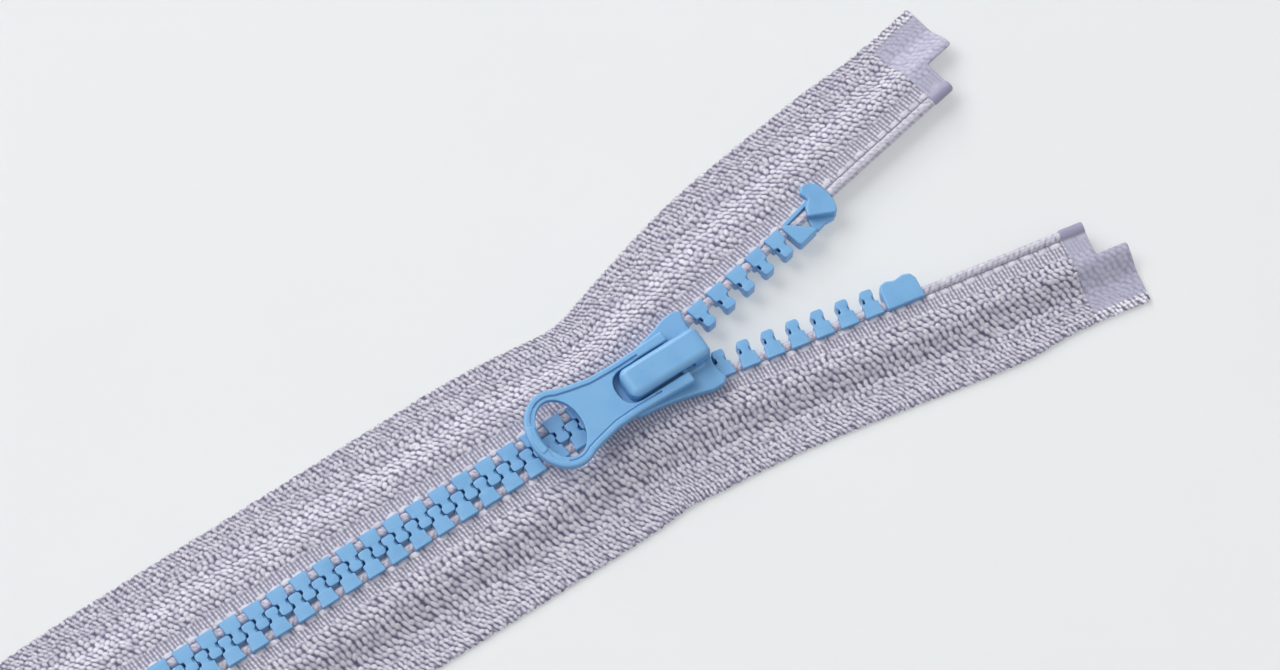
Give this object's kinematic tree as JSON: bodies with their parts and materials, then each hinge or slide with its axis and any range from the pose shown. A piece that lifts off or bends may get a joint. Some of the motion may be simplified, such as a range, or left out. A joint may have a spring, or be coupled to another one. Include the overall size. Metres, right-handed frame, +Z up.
{
  "type": "zipper",
  "caption": "Separating zipper with moulded plastic teeth on woven tapes, part open, with a locking slider, pull tab, top stops and a pin-and-box bottom end.",
  "frame": {"origin": "centre of the object's footprint on the surface it lies on", "axes": "+X along the chain from the bottom end to the open top end, +Y towards the left tape, +Z up out of the face with the pull"},
  "size_m": [0.1856, 0.055, 0.0078],
  "materials": {
    "plastic": "satin moulded acetal, sky blue",
    "tape": "woven polyester, grey lavender with white and grey yarns",
    "cord": "braided polyester bead cord",
    "film": "fused film on the tape ends, smooth and faintly mottled",
    "lock_metal": "bright spring steel"
  },
  "bodies": {
    "chain": {"left_tape_closed": "tape", "right_tape_closed": "tape", "left_teeth_closed": "plastic", "right_teeth_closed": "plastic", "left_bottom_film": "film", "right_bottom_film": "film", "insertion_pin": "plastic", "retainer_pin": "plastic", "retainer_box": "plastic"},
    "slider": {"slider_body": "plastic", "lock_cover": "plastic", "lock_spring": "lock_metal"},
    "pull": {"pull_tab": "plastic"},
    "pawl": {"lock_pawl": "lock_metal"},
    "free_left": {"left_tape_free": "tape", "left_cord_free": "cord", "left_tooth_1": "plastic", "left_tooth_2": "plastic", "left_tooth_3": "plastic", "left_tooth_4": "plastic", "left_tooth_5": "plastic", "left_tooth_6": "plastic"},
    "free_right": {"right_tape_free": "tape", "right_cord_free": "cord", "right_tooth_1": "plastic", "right_tooth_2": "plastic", "right_tooth_3": "plastic", "right_tooth_4": "plastic", "right_tooth_5": "plastic", "right_tooth_6": "plastic"},
    "top_left": {"left_tape_top": "tape", "left_cord_top": "cord", "left_tooth_7": "plastic", "left_tooth_8": "plastic", "left_tooth_9": "plastic", "left_top_stop": "plastic", "left_top_film": "film"},
    "top_right": {"right_tape_top": "tape", "right_cord_top": "cord", "right_tooth_7": "plastic", "right_tooth_8": "plastic", "right_tooth_9": "plastic", "right_tooth_10": "plastic", "right_top_stop": "plastic", "right_top_film": "film"}
  },
  "joints": [
    {"name": "slider_slide", "type": "slide", "parent": "chain", "child": "slider", "axis": [1, 0, 0], "range_m": [0, 0.0222], "deforming": ["left_tooth_1", "left_tooth_2", "left_tooth_3", "left_tooth_4", "left_tooth_5", "left_tooth_6", "left_tooth_7", "right_tooth_1", "right_tooth_2", "right_tooth_3", "right_tooth_4", "right_tooth_5", "right_tooth_6", "right_tooth_7"]},
    {"name": "left_free_turn", "type": "hinge", "parent": "chain", "child": "free_left", "pos_m": [0.02104, 0.00213, 0.0024], "axis": [0, 0, 1], "range_deg": [-10.32, 0]},
    {"name": "left_top_turn", "type": "hinge", "parent": "free_left", "child": "top_left", "pos_m": [0.04288, 0.0061, 0.0024], "axis": [0, 0, 1], "range_deg": [0, 10.32]},
    {"name": "right_free_turn", "type": "hinge", "parent": "chain", "child": "free_right", "pos_m": [0.02289, -0.00187, 0.0024], "axis": [0, 0, 1], "range_deg": [0, 10.32]},
    {"name": "right_top_turn", "type": "hinge", "parent": "free_right", "child": "top_right", "pos_m": [0.04473, -0.00584, 0.0024], "axis": [0, 0, 1], "range_deg": [-10.32, 0]},
    {"name": "pull_swing", "type": "hinge", "parent": "slider", "child": "pull", "pos_m": [0.03039, 0.00013, 0.0058], "axis": [0, 1, 0], "range_deg": [0, 150]},
    {"name": "pawl_lift", "type": "hinge", "parent": "slider", "child": "pawl", "pos_m": [0.03259, 0.00013, 0.00645], "axis": [0, 1, 0], "range_deg": [0, 4.01], "deforming": ["lock_spring"]}
  ],
  "couplings": [
    {"joint": "left_free_turn", "follows": "slider_slide", "rad_per_m": -8.1081},
    {"joint": "left_top_turn", "follows": "slider_slide", "rad_per_m": 8.1081},
    {"joint": "right_free_turn", "follows": "slider_slide", "rad_per_m": 8.1081},
    {"joint": "right_top_turn", "follows": "slider_slide", "rad_per_m": -8.1081},
    {"joint": "pawl_lift", "follows": "pull_swing", "ratio": 0.026667}
  ]
}
